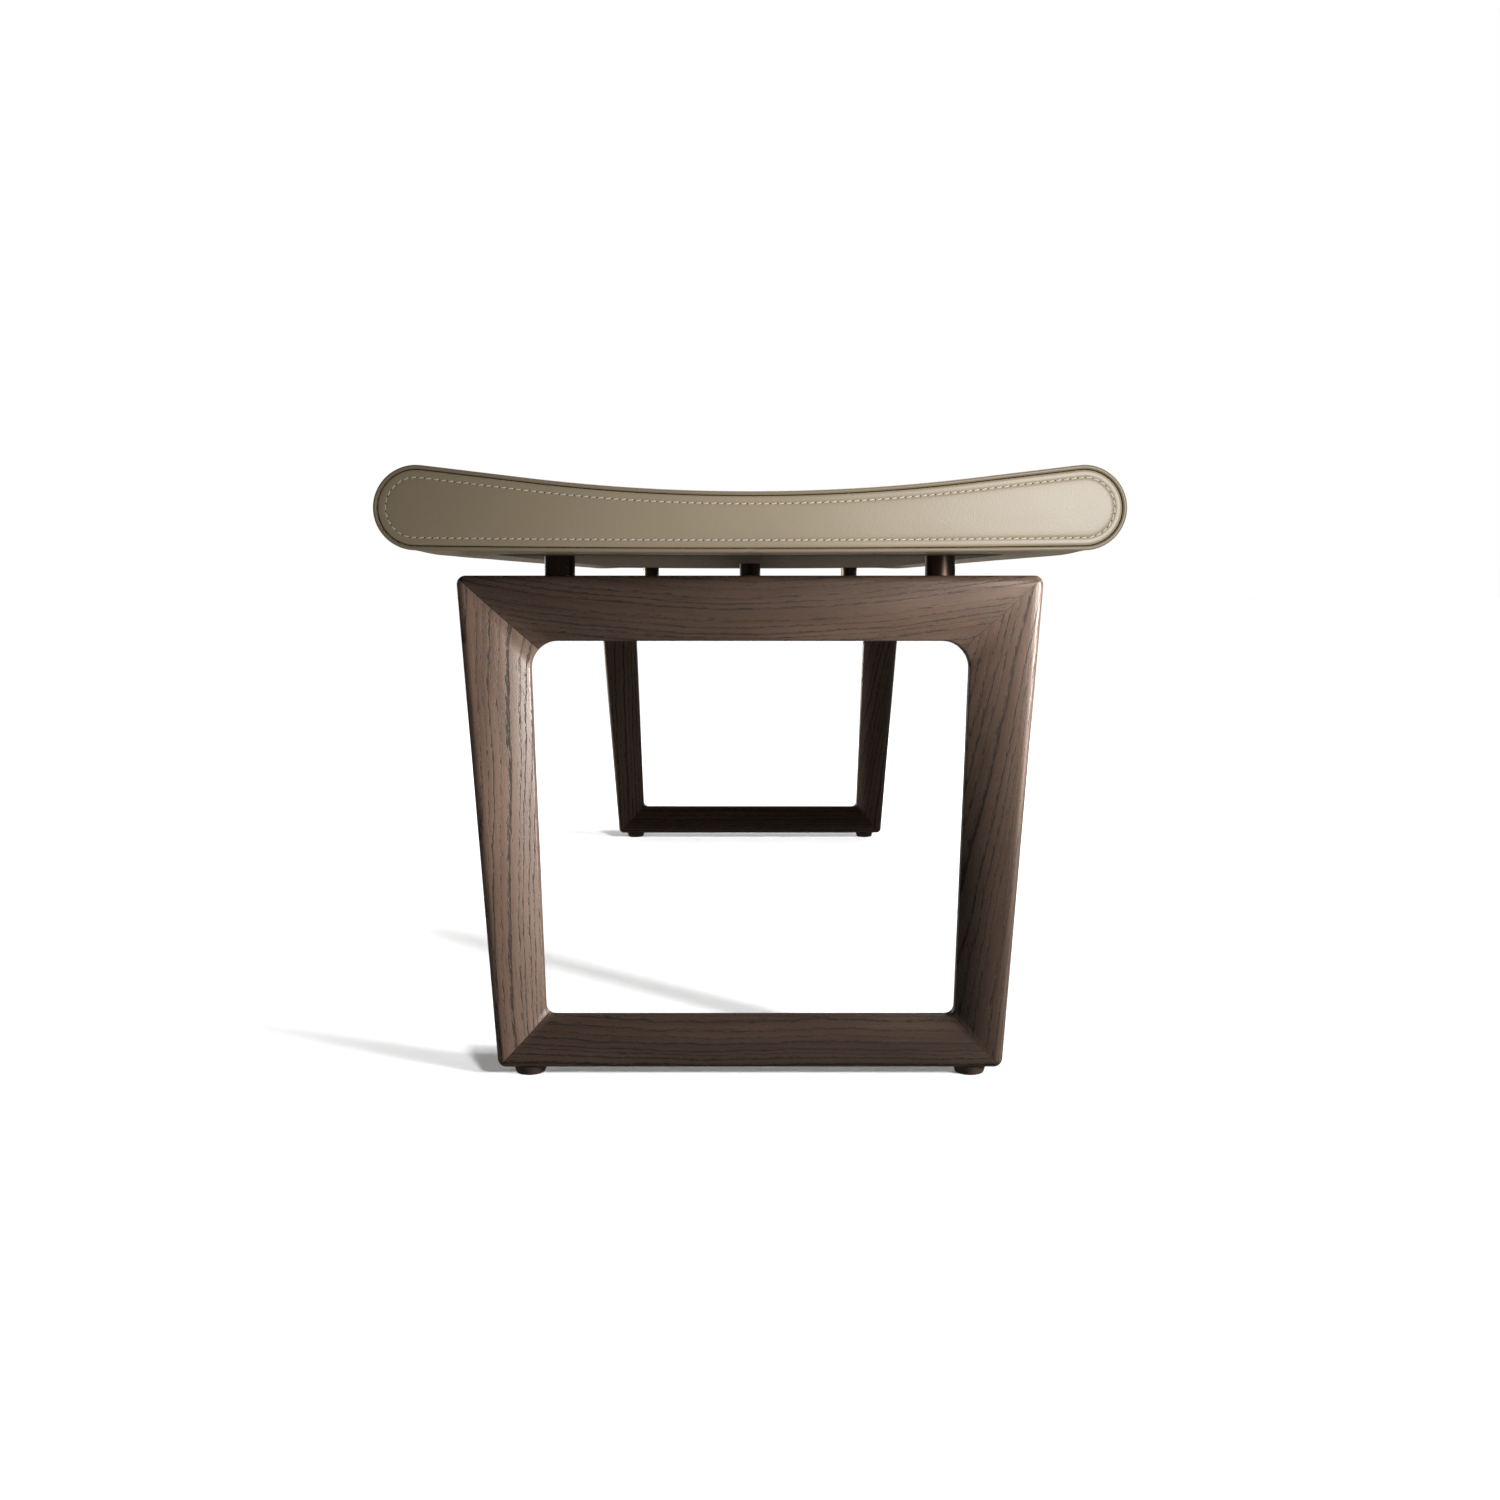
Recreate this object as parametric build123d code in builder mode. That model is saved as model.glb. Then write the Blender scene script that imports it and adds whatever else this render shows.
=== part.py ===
from build123d import *
import os
from math import cos, hypot, radians, sin, sqrt, tan

os.makedirs("parts", exist_ok=True)

# An upholstered bench: a saddle-shaped leather seat on five short metal posts,
# carried by two closed wooden frames that a hidden steel beam joins.
# X runs across the seat, Y along it and Z up. The origin is on the floor under
# the centre of the bench. All sizes are in millimetres.

# ------------------------------------------------------------ overall sizes
seat_length = 1400.0
seat_width = 500.0
frame_overhang = 117.5  # seat end to the frame's outer face
frame_height = 361.7
post_height = 14.9
glide_height = 6.6

# ------------------------------------------------------------ seat section
seat_mid_thickness = 40.5  # on the centre line
lobe_radius = 28.2  # rolled side edge
lobe_lift = 1.6  # lowest line of the rolled edge above the middle of the underside
saddle_half_width = 148.0  # centre line to the straight flank beside each rolled edge

# ------------------------------------------------------------ seat layers
leather_thickness = 1.6
board_thickness = 12.0
board_side_margin = 55.0  # from the seat's widest line to the board's edge
board_end_margin = 15.0
end_panel_thickness = 2.1
piping_width = 2.8
piping_depth = 2.8
seam_gap = 0.3  # between an end panel and its piping
stitch_inset = 8.2  # seam line, in from the seat's outline
thread_width = 0.8
thread_height = 0.6
underside_side_margin = 43.0  # from a post's centre to the panel's long edge
underside_end_margin = 28.5  # from a post's centre to the panel's end

# ------------------------------------------------------------ frames
frame_depth = 32.0
frame_top_width = 433.6
frame_bottom_width = 370.6
top_rail_height = 48.5
bottom_rail_height = 35.8
leg_top_width = 49.2  # measured level, where the leg meets the top rail
leg_foot_width = 37.2  # measured level, where the leg meets the bottom rail
ridge_width = 8.0  # full-depth band inside the outer edge
bevel_mid_share = 0.5  # place across the bevel where its crown is set
bevel_mid_drop = 3.2  # fall of the crowned bevel at that place
inner_land = 10.0  # depth left at the opening's edge
inner_edge_radius = 2.5
outer_edge_radius = 6.0
outer_corner_extra = 0.4  # corner radius in the frame's face, over the edge radius
ridge_corner_radius = 1.5
inner_top_radius = 20.0
inner_bottom_radius = 7.0

# ------------------------------------------------------------ corner joints
spline_cover = 5.5  # wood left beyond the corners of the square splines
spline_thickness = 3.5
spline_spacing = 10.0  # between the two splines of one mitre
spline_end_gap = 0.5

# ------------------------------------------------------------ posts and fasteners
post_diameter = 22.4
post_spacing = 282.6
stud_diameter = 8.0
stud_hole_gap = 0.3  # radial, where a stud passes freely
thread_gap = 0.05  # radial, where a stud is screwed in
insert_diameter = 12.0
rail_insert_length = 14.0
seat_insert_length = 10.0
stud_end_gap = 1.0  # from a stud's end to the bottom of its insert
nut_across_flats = 13.0
nut_height = 6.5
stud_past_nut = 2.0

# ------------------------------------------------------------ centre beam
beam_width = 40.0
beam_height = 30.0
beam_wall = 3.0
beam_corner_radius = 4.0
beam_drop = 7.0  # frame top to beam top
plate_width = 90.0
plate_thickness = 5.0
plate_seat = 8.0  # pocket floor, measured from the frame's middle plane
plate_fit = 0.25  # around the plate in its pocket
plate_screw_spacing_x = 68.0
plate_screw_spacing_z = 16.0
plate_screw_diameter = 5.0
plate_screw_head_diameter = 9.0
plate_screw_head_height = 3.0
plate_screw_bite = 14.0
screw_hole_gap = 0.2  # radial, where a screw passes freely

# ------------------------------------------------------------ glides
glide_edge_margin = 22.5  # frame's outer bottom corner to a glide's centre
glide_top_diameter = 25.0
glide_foot_diameter = 21.0
glide_edge_radius = 1.6
glide_recess_diameter = 9.5
glide_recess_depth = 3.5
glide_screw_diameter = 4.0
glide_screw_head_diameter = 8.0
glide_screw_head_height = 2.4
glide_screw_bite = 14.0

# ------------------------------------------------------------ levels and places
frame_bottom = glide_height
frame_top = frame_bottom + frame_height
seat_bottom = frame_top + post_height
seat_mid_top = seat_bottom + seat_mid_thickness
board_bottom = seat_bottom + lobe_lift + leather_thickness
board_top = board_bottom + board_thickness
seat_half_length = seat_length / 2
sleeve_half_length = seat_half_length - piping_depth
frame_y = seat_half_length - frame_overhang - frame_depth / 2
post_x = post_spacing / 2
glide_x = frame_bottom_width / 2 - glide_edge_margin
beam_top = frame_top - beam_drop
beam_bottom = beam_top - beam_height
beam_middle = beam_top - beam_height / 2
plate_inner_face = plate_seat + plate_thickness
beam_half_length = frame_y - plate_inner_face
ends = {"front": -1, "rear": 1}
sides = {"left": -1, "right": 1}


def finish(part, name):
    """Label a piece and write it to its own file."""
    part.label = name
    export_step(part, f"parts/{name}.step")


# ------------------------------------------------------------ seat geometry
lobe_x = seat_width / 2 - lobe_radius
lobe_z = seat_bottom + lobe_lift + lobe_radius
lobe_height = lobe_z - seat_bottom


def flank_miss(angle):
    """How far above the rolled edge a flank of this angle passes, if it leaves the saddle tangent."""
    rise = saddle_half_width * tan(angle / 2) + (seat_mid_top - lobe_z)
    return rise * cos(angle) + (lobe_x - saddle_half_width) * sin(angle) - lobe_radius


flank_low, flank_high = 0, radians(60)
for halving in range(50):
    flank_angle = (flank_low + flank_high) / 2
    if flank_miss(flank_angle) < 0:
        flank_low = flank_angle
    else:
        flank_high = flank_angle
saddle_radius = saddle_half_width / sin(flank_angle)
belly_radius = (lobe_x**2 + lobe_height**2 - lobe_radius**2) / (2 * lobe_lift)


def seat_loop(inset):
    """The seat's closed cross-section, moved inward by inset all round.

    A shallow saddle runs by straight flanks into two rolled edges, which a
    barely bellied underside joins. Every joint of the outline is tangent.
    """
    radius = lobe_radius - inset
    flank_outer = (lobe_x - radius * sin(flank_angle), lobe_z + radius * cos(flank_angle))
    saddle = saddle_radius + inset
    saddle_centre = seat_mid_top + saddle_radius
    flank_inner = (saddle * sin(flank_angle), saddle_centre - saddle * cos(flank_angle))
    belly = belly_radius - inset
    belly_centre = seat_bottom + belly_radius
    reach = hypot(lobe_x, belly_centre - lobe_z)
    belly_end = (belly * lobe_x / reach, belly_centre - belly * (belly_centre - lobe_z) / reach)
    with BuildLine() as loop:
        for side in sides.values():
            Line((side * flank_inner[0], flank_inner[1]), (side * flank_outer[0], flank_outer[1]))
            ThreePointArc(
                (side * flank_outer[0], flank_outer[1]),
                (side * (lobe_x + radius), lobe_z),
                (side * belly_end[0], belly_end[1]),
            )
        ThreePointArc(
            (-flank_inner[0], flank_inner[1]),
            (0, seat_mid_top - inset),
            flank_inner,
        )
        ThreePointArc((-belly_end[0], belly_end[1]), (0, seat_bottom + inset), belly_end)
    return loop.line


def at_y(y):
    """Section plane at y: its normal points to -Y, so a positive extrusion runs forward."""
    return Plane.XZ.offset(-y)


# ------------------------------------------------------------ frame geometry
def corner(half_width, z, side):
    return Vector(side * half_width, 0, z)


opening_bottom = frame_bottom + bottom_rail_height
opening_top = frame_top - top_rail_height
outer_top_half = frame_top_width / 2
outer_bottom_half = frame_bottom_width / 2
outer_slope = (outer_top_half - outer_bottom_half) / frame_height
opening_bottom_half = outer_bottom_half + outer_slope * bottom_rail_height - leg_foot_width
opening_top_half = outer_top_half - outer_slope * top_rail_height - leg_top_width

# Each outline is (low half width, low z, high half width, high z).
outer_outline = (outer_bottom_half, frame_bottom, outer_top_half, frame_top)
opening_outline = (opening_bottom_half, opening_bottom, opening_top_half, opening_top)
ridge_slack = ridge_width * outer_slope
ridge_level_width = ridge_width * hypot(1, outer_slope)
ridge_outline = (
    outer_bottom_half + ridge_slack - ridge_level_width,
    frame_bottom + ridge_width,
    outer_top_half - ridge_slack - ridge_level_width,
    frame_top - ridge_width,
)


def between(first, second, share):
    return tuple(a + (b - a) * share for a, b in zip(first, second))


def frame_sketch(outline, low_radius, high_radius):
    """A frame outline as a trapezoid with rounded corners, drawn in its section plane."""
    low_half, low_z, high_half, high_z = outline
    with BuildSketch() as face:
        Polygon(
            (-low_half, low_z),
            (low_half, low_z),
            (high_half, high_z),
            (-high_half, high_z),
            align=None,
        )
        fillet(face.vertices().group_by(Axis.Y)[0], low_radius)
        fillet(face.vertices().group_by(Axis.Y)[-1], high_radius)
    return face.sketch


outer_corner_radius = outer_edge_radius + outer_corner_extra
outer_sketch = frame_sketch(outer_outline, outer_corner_radius, outer_corner_radius)
opening_sketch = frame_sketch(opening_outline, inner_bottom_radius, inner_top_radius)
ridge_sketch = frame_sketch(ridge_outline, ridge_corner_radius, ridge_corner_radius)
crown_sketch = frame_sketch(
    between(ridge_outline, opening_outline, bevel_mid_share),
    (ridge_corner_radius + inner_bottom_radius) / 2,
    (ridge_corner_radius + inner_top_radius) / 2,
)

with BuildPart() as bevel_cutter:
    with BuildSketch(at_y(-frame_depth / 2)):
        add(ridge_sketch)
    with BuildSketch(at_y(-frame_depth / 2 + bevel_mid_drop)):
        add(crown_sketch)
    with BuildSketch(at_y(-inner_land / 2)):
        add(opening_sketch)
    loft()
    mirror(about=Plane.XZ)

with BuildPart() as frame_blank:
    with BuildSketch(at_y(frame_depth / 2)):
        add(outer_sketch)
    extrude(amount=frame_depth)
    face_edges = frame_blank.faces().filter_by(Axis.Y).edges()
    fillet(face_edges, outer_edge_radius)
    add(bevel_cutter.part, mode=Mode.SUBTRACT)
    with BuildSketch(at_y(frame_depth / 2)):
        add(opening_sketch)
    extrude(amount=frame_depth, mode=Mode.SUBTRACT)
    for way in ends.values():
        land_edge = way * inner_land / 2
        fillet(
            frame_blank.edges().filter_by_position(Axis.Y, land_edge, land_edge),
            inner_edge_radius,
        )


def mitre_ends(side, level):
    """A mitre's outer and inner end points."""
    if level == "top":
        return corner(outer_top_half, frame_top, side), corner(opening_top_half, opening_top, side)
    return (
        corner(outer_bottom_half, frame_bottom, side),
        corner(opening_bottom_half, opening_bottom, side),
    )


def mitre_plane(side, level):
    """Plane of a mitre, with its origin at the middle and its normal pointing into the rail."""
    outer, inner = mitre_ends(side, level)
    along = (inner - outer).normalized()
    normal = Vector(0, 1, 0).cross(along)
    rail_way = 1 if level == "top" else -1
    if normal.Z * rail_way < 0:
        normal = normal * -1
    return Plane(origin=(outer + inner) / 2, x_dir=along, z_dir=normal)


def spline_pair(side, level, end_gap):
    """The two square splines of a mitre, or, with an end gap, the slots that hold them."""
    outer, inner = mitre_ends(side, level)
    corner_room = min(abs(outer.X - inner.X), abs(outer.Z - inner.Z)) / 2
    spline_size = (corner_room - spline_cover) * sqrt(2)
    with BuildPart(mitre_plane(side, level)) as pair:
        with GridLocations(0, spline_spacing, 1, 2):
            Box(spline_size, spline_thickness, spline_size + 2 * end_gap)
    return pair.part


with BuildPart() as spline_slots:
    for side in sides.values():
        for level in ("top", "bottom"):
            add(spline_pair(side, level, spline_end_gap))

with BuildPart() as plate_pocket:
    with BuildSketch(Plane.XZ.offset(-frame_depth)):
        with Locations((0, beam_middle)):
            Rectangle(plate_width + 2 * plate_fit, beam_height + 2 * plate_fit)
    extrude(amount=frame_depth - plate_seat)

plate_screw_points = [
    (x * plate_screw_spacing_x / 2, beam_middle + z * plate_screw_spacing_z / 2)
    for x in (-1, 1)
    for z in (-1, 1)
]

# ------------------------------------------------------------ wooden frames
for end, way in ends.items():
    centre = Location((0, way * frame_y, 0))
    # The pocket for the beam plate faces the middle of the bench.
    facing = Rotation(0, 0, 0 if way < 0 else 180)

    with BuildPart() as top_rail:
        add(frame_blank.part)
        for side in sides.values():
            split(bisect_by=mitre_plane(side, "top"), keep=Keep.TOP)
        add(spline_slots.part, mode=Mode.SUBTRACT)
        add(facing * plate_pocket.part, mode=Mode.SUBTRACT)
        with BuildSketch(Plane.XY.offset(frame_top)):
            with Locations((-post_x, 0), (post_x, 0)):
                Circle(insert_diameter / 2)
        extrude(amount=-rail_insert_length, mode=Mode.SUBTRACT)
        with BuildSketch(at_y(-way * plate_seat)):
            with Locations(*plate_screw_points):
                Circle(plate_screw_diameter / 2)
        extrude(amount=-way * plate_screw_bite, mode=Mode.SUBTRACT)
    finish(centre * top_rail.part, f"{end}_top_rail")

    with BuildPart() as bottom_rail:
        add(frame_blank.part)
        for side in sides.values():
            split(bisect_by=mitre_plane(side, "bottom"), keep=Keep.TOP)
        add(spline_slots.part, mode=Mode.SUBTRACT)
        with BuildSketch(Plane.XY.offset(frame_bottom)):
            with Locations((-glide_x, 0), (glide_x, 0)):
                Circle(glide_screw_diameter / 2)
        extrude(amount=glide_screw_bite, mode=Mode.SUBTRACT)
    finish(centre * bottom_rail.part, f"{end}_bottom_rail")

    for name, side in sides.items():
        with BuildPart() as leg:
            add(frame_blank.part)
            for level in ("top", "bottom"):
                split(bisect_by=mitre_plane(side, level), keep=Keep.BOTTOM)
            add(spline_slots.part, mode=Mode.SUBTRACT)
        finish(centre * leg.part, f"{end}_{name}_leg")

    with BuildPart() as mitre_splines:
        for side in sides.values():
            for level in ("top", "bottom"):
                add(spline_pair(side, level, 0))
    finish(centre * mitre_splines.part, f"{end}_mitre_splines")

# ------------------------------------------------------------ centre beam
with BuildPart() as centre_beam:
    with BuildSketch(at_y(beam_half_length)):
        with Locations((0, beam_middle)):
            RectangleRounded(beam_width, beam_height, beam_corner_radius)
            RectangleRounded(
                beam_width - 2 * beam_wall,
                beam_height - 2 * beam_wall,
                beam_corner_radius - beam_wall,
                mode=Mode.SUBTRACT,
            )
    extrude(amount=2 * beam_half_length)
    with BuildSketch(Plane.XY.offset(beam_top)):
        Circle(stud_diameter / 2 + stud_hole_gap)
    extrude(amount=-beam_wall, mode=Mode.SUBTRACT)
finish(centre_beam.part, "centre_beam")

for end, way in ends.items():
    with BuildPart() as beam_plate:
        with BuildSketch(at_y(way * beam_half_length)):
            with Locations((0, beam_middle)):
                Rectangle(plate_width, beam_height)
            with Locations(*plate_screw_points):
                Circle(plate_screw_diameter / 2 + screw_hole_gap, mode=Mode.SUBTRACT)
        extrude(amount=-way * plate_thickness)
    finish(beam_plate.part, f"{end}_beam_plate")

with BuildPart() as plate_screws:
    for way in ends.values():
        with BuildSketch(at_y(way * beam_half_length)):
            with Locations(*plate_screw_points):
                Circle(plate_screw_head_diameter / 2)
        extrude(amount=way * plate_screw_head_height)
        with BuildSketch(at_y(way * beam_half_length)):
            with Locations(*plate_screw_points):
                Circle(plate_screw_diameter / 2)
        extrude(amount=-way * (plate_thickness + plate_screw_bite))
finish(plate_screws.part, "beam_plate_screws")

# ------------------------------------------------------------ posts and their studs
post_places = {
    f"{end}_{name}_post": (side * post_x, way * frame_y, frame_top)
    for end, way in ends.items()
    for name, side in sides.items()
}
post_places["centre_post"] = (0, 0, beam_top)

for name, (x, y, foot) in post_places.items():
    with BuildPart() as post:
        with BuildSketch(Plane.XY.offset(foot)):
            with Locations((x, y)):
                Circle(post_diameter / 2)
                Circle(stud_diameter / 2 + stud_hole_gap, mode=Mode.SUBTRACT)
        extrude(amount=seat_bottom - foot)
    finish(post.part, name)

rail_post_points = [(x, y) for x, y, foot in post_places.values() if foot == frame_top]
all_post_points = [(x, y) for x, y, foot in post_places.values()]
stud_top = board_bottom + seat_insert_length - stud_end_gap
rail_stud_foot = frame_top - rail_insert_length + stud_end_gap
nut_bottom = beam_top - beam_wall - nut_height
beam_stud_foot = nut_bottom - stud_past_nut

with BuildPart() as post_studs:
    with BuildSketch(Plane.XY.offset(rail_stud_foot)):
        with Locations(*rail_post_points):
            Circle(stud_diameter / 2)
    extrude(amount=stud_top - rail_stud_foot)
    with BuildSketch(Plane.XY.offset(beam_stud_foot)):
        Circle(stud_diameter / 2)
    extrude(amount=stud_top - beam_stud_foot)
finish(post_studs.part, "post_studs")

with BuildPart() as rail_inserts:
    with BuildSketch(Plane.XY.offset(frame_top)):
        with Locations(*rail_post_points):
            Circle(insert_diameter / 2)
            Circle(stud_diameter / 2 + thread_gap, mode=Mode.SUBTRACT)
    extrude(amount=-rail_insert_length)
finish(rail_inserts.part, "rail_inserts")

with BuildPart() as seat_inserts:
    with BuildSketch(Plane.XY.offset(board_bottom)):
        with Locations(*all_post_points):
            Circle(insert_diameter / 2)
            Circle(stud_diameter / 2 + thread_gap, mode=Mode.SUBTRACT)
    extrude(amount=seat_insert_length)
finish(seat_inserts.part, "seat_inserts")

with BuildPart() as beam_nut:
    with BuildSketch(Plane.XY.offset(nut_bottom)):
        RegularPolygon(nut_across_flats / 2, 6, major_radius=False)
        Circle(stud_diameter / 2 + thread_gap, mode=Mode.SUBTRACT)
    extrude(amount=nut_height)
finish(beam_nut.part, "beam_nut")

# ------------------------------------------------------------ seat
board_width = seat_width - 2 * board_side_margin
board_length = seat_length - 2 * board_end_margin
with BuildPart() as seat_board:
    with BuildSketch(Plane.XY.offset(board_bottom)):
        Rectangle(board_width, board_length)
    extrude(amount=board_thickness)
    with BuildSketch(Plane.XY.offset(board_bottom)):
        with Locations(*all_post_points):
            Circle(insert_diameter / 2)
    extrude(amount=seat_insert_length, mode=Mode.SUBTRACT)
finish(seat_board.part, "seat_board")

with BuildPart() as underside_blank:
    with BuildSketch(Plane.XY.offset(seat_bottom)):
        Rectangle(2 * (post_x + underside_side_margin), 2 * (frame_y + underside_end_margin))
    extrude(amount=board_bottom - seat_bottom)

with BuildPart() as underside_panel:
    add(underside_blank.part)
    with BuildSketch(Plane.XY.offset(seat_bottom)):
        with Locations(*all_post_points):
            Circle(stud_diameter / 2 + stud_hole_gap)
    extrude(amount=board_bottom - seat_bottom, mode=Mode.SUBTRACT)
finish(underside_panel.part, "underside_panel")

with BuildPart() as seat_foam:
    with BuildSketch(at_y(sleeve_half_length)):
        make_face(seat_loop(leather_thickness).edges())
    extrude(amount=2 * sleeve_half_length)
    with BuildSketch(Plane.XY.offset(board_bottom)):
        Rectangle(board_width, board_length)
    extrude(amount=board_thickness, mode=Mode.SUBTRACT)
    add(underside_blank.part, mode=Mode.SUBTRACT)
finish(seat_foam.part, "seat_foam")

with BuildPart() as seat_cover:
    with BuildSketch(at_y(sleeve_half_length)):
        make_face(seat_loop(0).edges())
        make_face(seat_loop(leather_thickness).edges(), mode=Mode.SUBTRACT)
    extrude(amount=2 * sleeve_half_length)
    add(underside_blank.part, mode=Mode.SUBTRACT)
finish(seat_cover.part, "seat_cover")

for end, way in ends.items():
    with BuildPart() as end_panel:
        with BuildSketch(at_y(way * sleeve_half_length)):
            make_face(seat_loop(piping_width + seam_gap).edges())
        extrude(amount=-way * end_panel_thickness)
    finish(end_panel.part, f"{end}_end_panel")

    with BuildPart() as edge_piping:
        with BuildSketch(at_y(way * sleeve_half_length)):
            make_face(seat_loop(0).edges())
            make_face(seat_loop(piping_width).edges(), mode=Mode.SUBTRACT)
        extrude(amount=-way * piping_depth)
    finish(edge_piping.part, f"{end}_edge_piping")

    with BuildPart() as stitching:
        with BuildSketch(at_y(way * (sleeve_half_length + end_panel_thickness))):
            make_face(seat_loop(stitch_inset - thread_width / 2).edges())
            make_face(seat_loop(stitch_inset + thread_width / 2).edges(), mode=Mode.SUBTRACT)
        extrude(amount=-way * thread_height)
    finish(stitching.part, f"{end}_stitching")

# ------------------------------------------------------------ glides
for end, way in ends.items():
    for name, side in sides.items():
        foot = (side * glide_x, way * frame_y, 0)
        with BuildPart() as glide:
            with BuildSketch(Plane(origin=foot, x_dir=(1, 0, 0), z_dir=(0, -1, 0))):
                Polygon(
                    (glide_recess_diameter / 2, 0),
                    (glide_foot_diameter / 2, 0),
                    (glide_top_diameter / 2, glide_height),
                    (glide_screw_diameter / 2 + screw_hole_gap, glide_height),
                    (glide_screw_diameter / 2 + screw_hole_gap, glide_recess_depth),
                    (glide_recess_diameter / 2, glide_recess_depth),
                    align=None,
                )
            revolve(axis=Axis(foot, (0, 0, 1)))
            foot_rim = glide.edges().group_by(Axis.Z)[0].sort_by(SortBy.RADIUS)[-1]
            fillet(foot_rim, glide_edge_radius)
        finish(glide.part, f"{end}_{name}_glide")

glide_points = [
    (side * glide_x, way * frame_y) for way in ends.values() for side in sides.values()
]
with BuildPart() as glide_screws:
    with BuildSketch(Plane.XY.offset(glide_recess_depth)):
        with Locations(*glide_points):
            Circle(glide_screw_head_diameter / 2)
    extrude(amount=-glide_screw_head_height)
    with BuildSketch(Plane.XY.offset(glide_recess_depth)):
        with Locations(*glide_points):
            Circle(glide_screw_diameter / 2)
    extrude(amount=frame_bottom + glide_screw_bite - glide_recess_depth)
finish(glide_screws.part, "glide_screws")
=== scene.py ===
import math
import random

import bmesh
import bpy
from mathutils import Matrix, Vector


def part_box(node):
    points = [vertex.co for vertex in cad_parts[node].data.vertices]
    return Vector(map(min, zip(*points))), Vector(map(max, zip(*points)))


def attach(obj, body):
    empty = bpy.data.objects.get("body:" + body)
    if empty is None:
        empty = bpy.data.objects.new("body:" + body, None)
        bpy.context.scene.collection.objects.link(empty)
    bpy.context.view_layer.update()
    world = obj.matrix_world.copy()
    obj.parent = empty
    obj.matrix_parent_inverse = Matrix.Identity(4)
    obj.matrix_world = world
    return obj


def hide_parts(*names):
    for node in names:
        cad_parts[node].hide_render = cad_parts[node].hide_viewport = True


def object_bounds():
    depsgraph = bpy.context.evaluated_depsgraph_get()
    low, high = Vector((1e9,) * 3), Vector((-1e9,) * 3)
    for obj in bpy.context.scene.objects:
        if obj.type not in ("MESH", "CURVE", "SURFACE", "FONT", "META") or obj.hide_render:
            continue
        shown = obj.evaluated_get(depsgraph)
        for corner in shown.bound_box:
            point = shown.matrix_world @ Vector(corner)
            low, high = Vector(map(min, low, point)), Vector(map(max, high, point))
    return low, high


# Looks for the upholstered bench: leather seat, stained ash frames, bronze posts.
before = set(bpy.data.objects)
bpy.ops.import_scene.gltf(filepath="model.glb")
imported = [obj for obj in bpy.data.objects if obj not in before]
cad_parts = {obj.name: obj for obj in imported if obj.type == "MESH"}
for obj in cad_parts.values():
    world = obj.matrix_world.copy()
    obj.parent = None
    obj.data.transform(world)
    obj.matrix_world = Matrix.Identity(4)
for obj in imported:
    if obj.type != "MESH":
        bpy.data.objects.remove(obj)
cad_low, cad_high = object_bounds()
MM = 0.001
ENDS = {"front": -1, "rear": 1}
SIDES = {"left": -1, "right": 1}

# ------------------------------------------------------------ seat section
# in metres: boxes from the frame, and three sizes that part.py also has
cover_low, cover_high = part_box("seat_cover")
seat_half_width = cover_high.x
seat_bottom = cover_low.z
seat_half_length = cad_high.y
sleeve_end = cover_high.y
lobe_lift = 1.6 * MM
lobe_radius = (cover_high.z - seat_bottom - lobe_lift) / 2
mid_thickness = 40.5 * MM
saddle_half_width = 148.0 * MM
lobe_x = seat_half_width - lobe_radius
lobe_z = cover_high.z - lobe_radius
mid_top = seat_bottom + mid_thickness


FLANK_LIMIT = math.radians(60)
FLANK_HALVINGS = 50


def solve_flank():
    """Angle of the straight flank that is tangent to the saddle and to the rolled edge."""
    low, high = 0.0, FLANK_LIMIT
    for step in range(FLANK_HALVINGS):
        angle = (low + high) / 2
        rise = saddle_half_width * math.tan(angle / 2) + mid_top - lobe_z
        reach = rise * math.cos(angle) + (lobe_x - saddle_half_width) * math.sin(angle)
        low, high = (angle, high) if reach < lobe_radius else (low, angle)
    return angle


flank = solve_flank()
saddle_radius = saddle_half_width / math.sin(flank)
belly_radius = (lobe_x**2 + (lobe_z - seat_bottom) ** 2 - lobe_radius**2) / (2 * lobe_lift)


def top_z(x, inset):
    """Height of the section's upper line at x, for an outline moved inward by inset."""
    x = abs(x)
    radius = lobe_radius - inset
    saddle = saddle_radius + inset
    if x <= saddle * math.sin(flank):
        return mid_top + saddle_radius - math.sqrt(saddle**2 - x * x)
    if x <= lobe_x - radius * math.sin(flank):
        start = mid_top + saddle_radius - saddle * math.cos(flank)
        return start + (x - saddle * math.sin(flank)) * math.tan(flank)
    return lobe_z + math.sqrt(max(radius**2 - (x - lobe_x) ** 2, 0))


def low_z(x, inset):
    """Height of the section's lower line at x, for an outline moved inward by inset."""
    x = abs(x)
    radius = lobe_radius - inset
    belly = belly_radius - inset
    turn = belly * lobe_x / math.hypot(lobe_x, seat_bottom + belly_radius - lobe_z)
    if x <= turn:
        return seat_bottom + belly_radius - math.sqrt(belly**2 - x * x)
    return lobe_z - math.sqrt(max(radius**2 - (x - lobe_x) ** 2, 0))


FLAT_STEPS = 56  # columns on each side between the middle and the rolled edge
LOBE_STEPS = 20  # columns round each rolled edge


def columns(inset):
    """X places of the section's columns, left to right, closer together round the edges."""
    radius = lobe_radius - inset
    right = [lobe_x * i / FLAT_STEPS for i in range(1, FLAT_STEPS + 1)]
    for i in range(1, LOBE_STEPS + 1):
        right.append(lobe_x + radius * math.sin(math.pi / 2 * i / LOBE_STEPS))
    return [-x for x in reversed(right)] + [0.0] + right


def loop(inset):
    """The section's closed outline as (x, z) points: along the top, then back underneath."""
    xs = columns(inset)
    upper = [(x, top_z(x, inset)) for x in xs]
    lower = [(x, low_z(x, inset)) for x in reversed(xs[1:-1])]
    return upper + lower


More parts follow.
